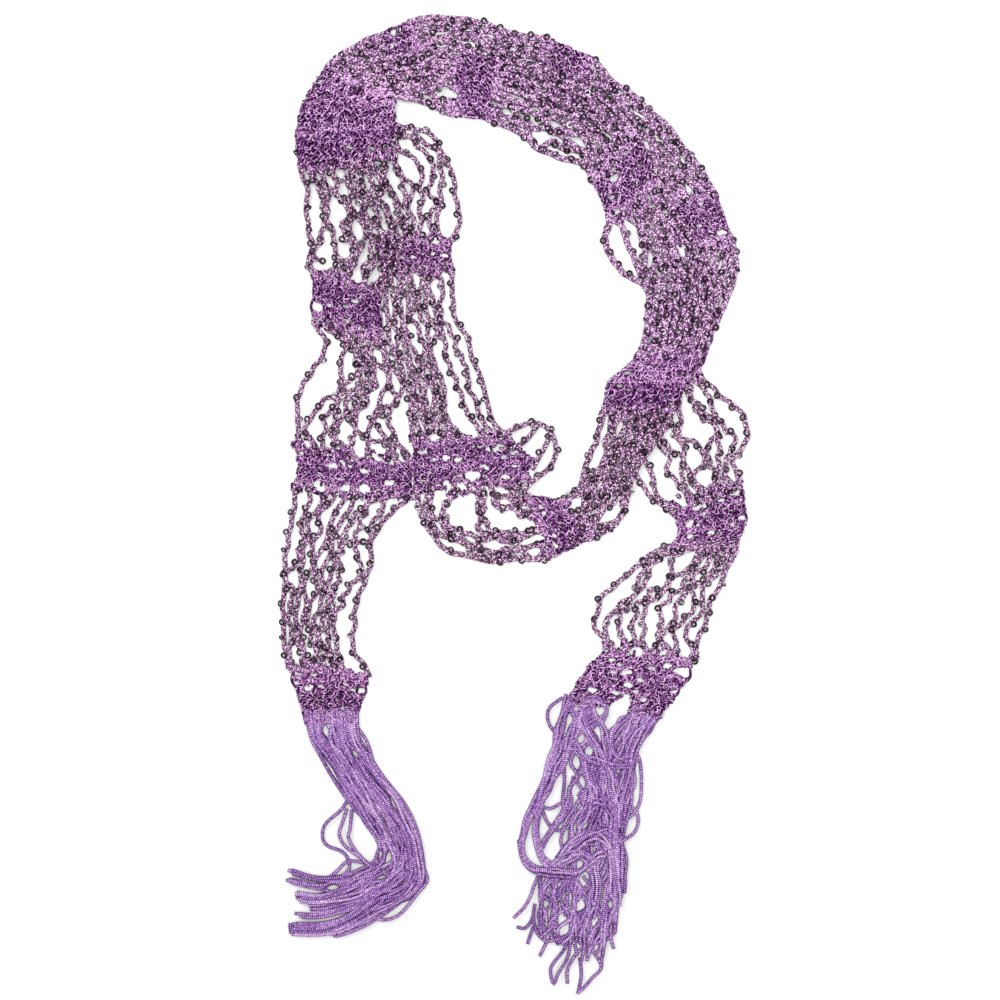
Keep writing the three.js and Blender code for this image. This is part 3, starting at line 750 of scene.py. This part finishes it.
# A lock is a group of cords that lie together: how many, where in the pile they lie (0 is on
# the table, 1 on top), and the middle and width of the lock at places down its length.
RIGHT_LOCKS = [
    (6, (0.1, 0.7), [(38, -124, 12), (35, -140, 12), (31, -153, 12), (26, -167, 11), (20, -180, 8),
     (14, -193, 5), (9, -203, 4), (6, -213, 3), (4, -221, 3), (6, -229, 2), (13, -236, 3), (24, -239, 6),
     (36, -241, 10)]),
    (6, (0.3, 0.9), [(42, -124, 13), (36, -138, 14), (32, -151, 14), (28, -164, 13), (23, -179, 9),
     (16, -193, 4), (14, -205, 3), (14, -216, 3), (17, -228, 3), (23, -237, 6), (22, -250, 8),
     (18, -265, 5), (16, -278, 3)]),
    (4, (0.5, 1), [(45, -127, 4), (54, -126, 5), (60, -131, 5), (57, -139, 6), (50, -145, 7),
     (44, -154, 9), (40, -166, 8), (39, -182, 4), (34, -196, 4), (27, -207, 3), (19, -219, 2),
     (17, -226, 2)]),
    (15, (0, 0.6), [(47, -126, 9), (48, -134, 12), (49, -143, 16), (50, -155, 18), (51, -169, 20),
     (51, -185, 21), (48, -203, 24), (44, -219, 24), (38, -232, 22), (32, -245, 25), (29, -260, 25),
     (27, -275, 17), (24, -285, 8)]),
    (21, (0, 0.6), [(81, -131, 14), (76, -140, 18), (71, -151, 21), (67, -163, 23), (63, -179, 25),
     (60, -198, 24), (58, -216, 25), (57, -232, 27), (54, -247, 30), (51, -263, 30), (47, -281, 20),
     (44, -297, 8)]),
    (6, (0.3, 0.9), [(92, -136, 6), (87, -142, 7), (81, -149, 8), (76, -160, 7), (72, -179, 7),
     (67, -198, 7), (65, -216, 7), (65, -232, 6), (65, -249, 5), (64, -265, 5), (63, -281, 3)]),
    (4, (0.6, 1), [(40, -132, 5), (46, -145, 6), (53, -157, 8), (60, -170, 9), (63, -185, 9),
     (65, -201, 8), (65, -218, 6), (63, -237, 6), (60, -257, 6), (58, -276, 4), (56, -294, 2)]),
    (3, (0.8, 1.1), [(30, -150, 5), (37, -155, 6), (43, -160, 6), (49, -164, 6), (55, -167, 6),
     (63, -169, 5), (70, -169, 4), (81, -169, 3)]),
    (4, (0.7, 1.1), [(55, -168, 6), (61, -173, 8), (64, -179, 8), (66, -187, 8), (68, -195, 7),
     (68, -203, 6), (69, -210, 5)]),
    (4, (0.8, 1.1), [(42, -186, 6), (48, -190, 8), (55, -191, 9), (61, -194, 9), (64, -199, 8),
     (66, -206, 7), (67, -214, 5)]),
    (4, (0.6, 1), [(43, -169, 7), (47, -174, 8), (50, -180, 9), (53, -187, 9), (53, -195, 9),
     (49, -203, 9), (45, -210, 9), (41, -217, 7)]),
    (2, (0.9, 1.2), [(75, -159, 3), (69, -164, 3), (65, -161, 3), (63, -155, 3), (64, -146, 4),
     (70, -139, 4), (77, -133, 3)]),
    (4, (0.7, 1.2), [(29, -230, 6), (38, -220, 9), (49, -213, 9), (59, -211, 9), (65, -217, 9),
     (68, -229, 8), (69, -242, 7), (70, -254, 4)]),
    (4, (0.7, 1.1), [(25, -236, 6), (33, -229, 9), (41, -220, 9), (49, -216, 9), (57, -218, 9),
     (62, -226, 9), (64, -237, 8), (64, -249, 8), (64, -264, 6), (65, -278, 3)]),
    (4, (0.7, 1.1), [(22, -238, 6), (33, -230, 9), (43, -226, 9), (49, -231, 9), (50, -239, 9),
     (52, -249, 8), (49, -264, 8), (44, -276, 6)]),
    (3, (0.9, 1.2), [(3, -218, 2), (5, -229, 2), (10, -236, 3), (19, -238, 5), (28, -238, 6),
     (38, -238, 6), (47, -233, 6), (55, -228, 6), (61, -227, 4)]),
]

# Single cords that lie apart from the rest or on top of them.
LEFT_LOOSE = [
    [(-109, -197), (-112, -206), (-114, -213), (-112, -219), (-107, -224), (-100, -229), (-93, -235)],
    [(-106, -198), (-107, -210), (-108, -216), (-103, -225), (-95, -233)],
    [(-95, -233), (-105, -231), (-110, -232), (-116, -238), (-122, -242), (-131, -242), (-140, -239)],
    [(-109, -192), (-113, -198), (-123, -207), (-125, -215), (-122, -221), (-112, -225), (-108, -231),
     (-108, -237), (-114, -242)],
    [(-102, -145), (-97, -152), (-94, -160), (-91, -172)],
    [(-59, -236), (-57, -244), (-64, -253), (-72, -263), (-79, -268), (-88, -269), (-98, -265)],
]

RIGHT_LOOSE = [
    [(31, -125), (23, -131), (21, -137), (23, -144), (29, -150)],
    [(29, -150), (24, -162), (20, -175), (16, -190), (8, -205), (3, -219)],
    [(76, -158), (81, -166), (82, -185), (80, -196), (74, -203), (66, -207)],
    [(70, -194), (78, -198), (80, -205), (77, -213), (68, -219)],
    [(32, -171), (32, -180), (31, -192), (33, -200)],
    [(38, -176), (35, -188), (31, -198), (24, -209), (19, -218)],
    [(17, -196), (23, -197), (29, -194), (33, -192)],
    [(17, -196), (21, -206), (27, -211), (34, -209), (38, -201)],
    [(15, -241), (12, -248), (10, -254), (6, -261), (-1, -268)],
    [(13, -259), (12, -266), (13, -274), (16, -280), (21, -283), (29, -281), (37, -278)],
    [(1, -274), (6, -275), (10, -271), (12, -266)],
    [(12, -274), (10, -279), (8, -285)],
    [(21, -283), (18, -289), (16, -293)],
    [(36, -278), (32, -288), (25, -297), (23, -302), (25, -311), (28, -304), (34, -294), (36, -283)],
    [(44, -287), (38, -294), (34, -302), (34, -311)],
    [(42, -294), (43, -305), (41, -316)],
    [(46, -283), (51, -290), (56, -300), (50, -307), (45, -313), (40, -317)],
    [(57, -273), (57, -287), (56, -300)],
    [(54, -271), (51, -280), (50, -285), (55, -283), (60, -279)],
    [(63, -268), (62, -279), (64, -288)],
    [(67, -254), (66, -266), (65, -278)],
    [(70, -240), (69, -249), (69, -255)],
    [(17, -240), (16, -249), (19, -255), (25, -256)],
    [(22, -242), (19, -252), (17, -262), (17, -279)],
    [(21, -244), (27, -260), (24, -273), (17, -280)],
    [(38, -240), (43, -248), (46, -253), (52, -258), (56, -264), (62, -267)],
    [(31, -240), (32, -249), (28, -256), (24, -257), (19, -254), (17, -249), (16, -242)],
    [(38, -279), (32, -282), (25, -282), (22, -275), (24, -269), (30, -264), (38, -260)],
    [(44, -241), (49, -246), (53, -241), (58, -246), (59, -257), (59, -270), (56, -281)],
]


def lay_cord(cords, line, high, openings, tone):
    """One cord along a line in plan, at a height of its middle over the table."""
    low = CORD + 0.1
    risen = np.clip(lengths_along(line) / ROOT, 0, 1)
    high = low + (np.maximum(high, low) - low) * risen
    line, = evenly(lay(line, high), CORD_STEP)
    line = part_round(line, openings, CORD)
    # Painted shade: the cord's sides come out darker than its top, as seams between the cords.
    tube(cords, line, CORD, CORD, 6, tone=tone, lift=0.5, along=lengths_along(line))


def height_in_pile(layer, places, rng):
    """The height of a cord's middle, by the layer of the pile that it is in."""
    level = CORD + 0.15 + (PILE - 2 * CORD) * layer
    return level + wave(rng, places, 0.6, 1.5, 4)


def left_cords(cords, openings, rng):
    """The left fringe: cords side by side that sweep round and end in groups."""
    at = cloth_map(LEFT_FRINGE)
    count = sum(many for many, *_ in LEFT_TIPS)
    number = 0
    for many, share, spread, last in LEFT_TIPS:
        for i in range(many):
            end = min(len(LEFT_FRINGE) - 1, last + rng.uniform(-0.25, 0.05))
            places = np.linspace(rng.uniform(-0.1, 0.15), end, 80)
            turn_in = np.clip((places - GROUPED) / 3, 0, 1) ** 1.3
            root = (number + 0.5) / count
            aim = share + spread * ((i + 0.5) / many - 0.5) * 2
            swing = wave(rng, places, 0.1, 4, 9) + wave(rng, places, 0.03, 1.5, 3)
            swing = swing * np.clip(places / 2, 0, 1) * (1 - turn_in)
            shares = np.clip(root + swing, 0.01, 0.99) * (1 - turn_in) + aim * turn_in
            high = height_in_pile(rng.uniform(0, 1), places, rng)
            lay_cord(cords, at(places, shares), high, openings, rng.uniform(0, 1))
            number += 1


def right_cords(cords, openings, rng):
    """The right fringe: locks of cords that cross over each other in a tangle."""
    for many, layer, path in RIGHT_LOCKS:
        for i in range(many):
            end = (len(path) - 1) * rng.uniform(0.86, 1.0)
            places = np.linspace(rng.uniform(-0.1, 0.2), end, round(end * 6))
            shape = smooth_line(path, places)
            middle, width = shape[:, :2], shape[:, 2]
            across = directions(lay(middle))[1]
            swing = wave(rng, places, 0.16, 3, 7) + wave(rng, places, 0.06, 1, 2.5)
            beside = (i + 0.5) / many - 0.5 + swing * np.clip(places, 0, 1)
            line = middle + across[:, :2] * (width * beside.clip(-0.6, 0.6))[:, None]
            high = height_in_pile(rng.uniform(*layer), places, rng)
            lay_cord(cords, line, high, openings, rng.uniform(0, 1))


def fringe(name, lay_cords, loose, openings, number):
    """The cords of one end, a pile of them, and the loose ones that lie beside or on it."""
    rng = np.random.default_rng(4300 + number)
    cords = Batch(["tone", "lift", "along"])
    lay_cords(cords, openings, rng)
    for points in loose:
        places = np.linspace(0, len(points) - 1, len(points) * 8)
        high = height_in_pile(rng.uniform(0.2, 0.9), places, rng)
        lay_cord(cords, smooth_line(points, places), high, [], rng.uniform(0.1, 0.6))
    made = cords.object(name)
    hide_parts(name + "_under", name + "_top")
    return made


# ---------- finishes
class Value:
    """A socket of a finish. Expressions on values add its Math nodes."""

    def __init__(self, finish, socket):
        self.finish, self.socket = finish, socket

    def maths(self, operation, first, second):
        return self.finish.node("Math", {"operation": operation}, {0: first, 1: second})

    def __add__(self, other):
        return self.maths("ADD", self, other)

    def __sub__(self, other):
        return self.maths("SUBTRACT", self, other)

    def __rsub__(self, other):
        return self.maths("SUBTRACT", other, self)

    def __mul__(self, other):
        return self.maths("MULTIPLY", self, other)

    __radd__ = __add__
    __rmul__ = __mul__


class Finish:
    """A material being made."""

    def __init__(self, name, shader):
        self.material = bpy.data.materials.new(name)
        self.material.use_nodes = True
        self.tree = self.material.node_tree
        self.shader = self.tree.nodes["Principled BSDF"]
        for socket, value in shader.items():
            self.set(socket, value)

    def node(self, kind, settings, sockets, output=0):
        """Adds a node, with its settings and the values or links of its sockets."""
        made = self.tree.nodes.new("ShaderNode" + kind)
        for name, value in settings.items():
            if name == "stops":
                self.set_stops(made.color_ramp, value)
            else:
                setattr(made, name, value)
        for name, value in sockets.items():
            self.join(value, made.inputs[name])
        return Value(self, made.outputs[output])

    def join(self, value, socket):
        if isinstance(value, Value):
            self.tree.links.new(value.socket, socket)
        else:
            socket.default_value = value

    def set(self, socket, value):
        self.join(value, self.shader.inputs[socket])

    def set_stops(self, ramp, stops):
        ramp.elements.remove(ramp.elements[1])
        for i, (place, colour) in enumerate(stops):
            stop = ramp.elements[0] if i == 0 else ramp.elements.new(place)
            stop.position, stop.color = place, colour

    def fact(self, name):
        return self.node("Attribute", {"attribute_name": name}, {}, "Fac")

    def noise(self, scale, detail=1.0):
        place = self.node("TexCoord", {}, {}, "Object")
        return self.node("TexNoise", {}, {"Vector": place, "Scale": scale, "Detail": detail})

    def ramp(self, value, *stops):
        """Colours of a value, from places on the ramp and colours of eight-bit values."""
        stops = [(place, colour(*eight_bit)) for place, *eight_bit in stops]
        return self.node("ValToRGB", {"stops": stops}, {"Fac": value})

    def mix(self, share, first, second):
        return self.node("Mix", {"data_type": "RGBA"}, {0: share, 6: first, 7: second}, 2)

    def bump(self, height, distance):
        sockets = {"Height": height, "Distance": distance, "Strength": 1.0}
        self.set("Normal", self.node("Bump", {}, sockets))


def colour(red, green, blue):
    """A colour of eight-bit values, as the shader wants it."""
    linear = lambda v: v / 12.92 if v <= 0.04045 else ((v + 0.055) / 1.055) ** 2.4
    return tuple(linear(v / 255) for v in (red, green, blue)) + (1.0,)


def metallic_yarn():
    finish = Finish("metallic_yarn", {"Metallic": 0.15, "Specular IOR Level": 0.12})
    # The specks are partly the yarn's light filaments and partly painted glints of its metal.
    speck = finish.noise(1000) * 4 - 1.5
    patch = finish.noise(60) * 2 - 0.5
    # Painted light and shade: the fact for a point's height in its yarn makes tops lighter and sides
    # darker.
    place = finish.fact("tone") * 0.45 + finish.fact("lift") * 0.5
    shade = place + speck * 0.42 + patch * 0.1 - 0.345
    strand = finish.ramp(
        shade, (0.0, 32, 2, 28), (0.3, 98, 50, 93), (0.6, 176, 130, 171), (0.9, 254, 232, 252)
    )
    worked = finish.ramp(
        shade, (0.0, 38, 0, 44), (0.35, 94, 34, 102), (0.65, 162, 104, 168), (1.0, 250, 208, 252)
    )
    finish.set("Base Color", finish.mix(finish.fact("band"), strand, worked))
    finish.set("Roughness", 0.62 - 0.15 * speck)
    finish.bump(finish.noise(2600), 0.0002)
    return finish.material


def gunmetal():
    finish = Finish("gunmetal_ring", {"Metallic": 0.85, "Coat Weight": 0.2})
    tarnish_and_glint = finish.noise(420, 2.0)
    # Painted highlight: where the noise is light on a bead of high tone, the top stop paints a near-white
    # glint; the lower stops are the metal's own dark colour and tarnish.
    shade = tarnish_and_glint * 0.8 + finish.fact("tone") * 0.5 - 0.15
    finish.set("Base Color", finish.ramp(
        shade, (0.1, 16, 2, 16), (0.5, 50, 34, 48), (0.7, 120, 98, 118), (0.82, 240, 230, 240)
    ))
    finish.set("Roughness", 0.15 + 0.25 * tarnish_and_glint)
    finish.bump(tarnish_and_glint, 0.0002)
    return finish.material


def ribbed_cord():
    finish = Finish("ribbed_cord", {"Metallic": 0.05, "Specular IOR Level": 0.2})
    speck = finish.noise(800) * 3 - 1
    turn = finish.fact("along") * (TURN / RIB) + speck * 1.2
    rib = finish.node("Math", {"operation": "SINE"}, {0: turn}) * 0.5 + 0.5
    patch = finish.noise(45) * 2 - 1
    # Painted light and shade: the fact for a point's height makes each cord's top lighter and its sides
    # darker.
    place = rib * 0.5 + finish.fact("tone") * 0.3 + finish.fact("lift") * 0.7
    shade = place + speck * 0.34 + patch * 0.15 - 0.58
    finish.set("Base Color", finish.ramp(
        shade, (0.0, 66, 18, 96), (0.35, 134, 82, 162), (0.65, 190, 146, 212), (1.0, 250, 226, 254)
    ))
    finish.set("Roughness", 0.6 - 0.2 * rib)
    finish.bump(rib, 0.0004)
    return finish.material


def table_top():
    finish = Finish("pale_table", {"Roughness": 0.8})
    grain = finish.noise(14, 3.0)
    stops = [(0.3, (0.9, 0.9, 0.91, 1)), (0.7, (0.94, 0.94, 0.94, 1))]
    finish.set("Base Color", finish.node("ValToRGB", {"stops": stops}, {"Fac": grain}))
    return finish.material


# ---------- the studio
VIEW_MIDDLE = (-9.75, 3.25)  # what the camera looks straight down on
VIEW_WIDTH = 650
LENS = 100
SENSOR = 36
AROUND = 0.56  # strength of the light from all sides


def studio():
    bpy.context.scene.view_settings.view_transform = "Standard"
    bpy.ops.mesh.primitive_plane_add(size=6, location=(0, 0, -0.0002))
    floor = bpy.context.object
    floor.name = "table_top"
    floor.data.materials.append(table_top())

    world = bpy.data.worlds.new("studio_light")
    bpy.context.scene.world = world
    world.use_nodes = True
    background = world.node_tree.nodes["Background"].inputs
    background["Color"].default_value = (1, 1, 1, 1)
    background["Strength"].default_value = AROUND

    for name, place, size, power in [
        ("overhead", (0.1, 0.1, 2.6), 1.6, 42),
        ("key", (-1.0, 1.0, 1.6), 0.8, 12),
    ]:
        light = bpy.data.lights.new(name, "AREA")
        light.size, light.energy = size, power
        aim = (-Vector(place)).to_track_quat("-Z", "Y").to_euler()
        put(name, light, place).rotation_euler = aim

    camera = bpy.data.cameras.new("camera")
    camera.lens, camera.sensor_width = LENS, SENSOR
    camera.clip_end = 20
    eye = Vector((*VIEW_MIDDLE, VIEW_WIDTH * LENS / SENSOR)) * MM
    bpy.context.scene.camera = put("camera", camera, eye)


def dress(piece, material):
    piece.data.materials.append(material)
    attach(piece, "root")


def main():
    studio()
    yarn, ring, cord = metallic_yarn(), gunmetal(), ribbed_cord()
    ends = {
        "left_tail": fringe("left_fringe", left_cords, LEFT_LOOSE, LEFT_FRINGE_OPEN, 0),
        "right_tail": fringe("right_fringe", right_cords, RIGHT_LOOSE, RIGHT_FRINGE_OPEN, 1),
    }
    for end in ends.values():
        dress(end, cord)
    for number, stretch in enumerate(STRETCHES):
        cloth, worked, rings = crochet(stretch, number)
        dress(cloth, yarn)
        dress(worked, yarn)
        dress(rings, ring)
        stretch["name"] in ends
        cut = (STRIP_WIDTH * MM, stretch_length(stretch["rows"]) * MM)
        below = [name + "_strands" for name in stretch["over"]]
    arch, rings = slack_arch()
    dress(arch, yarn)
    dress(rings, ring)


main()
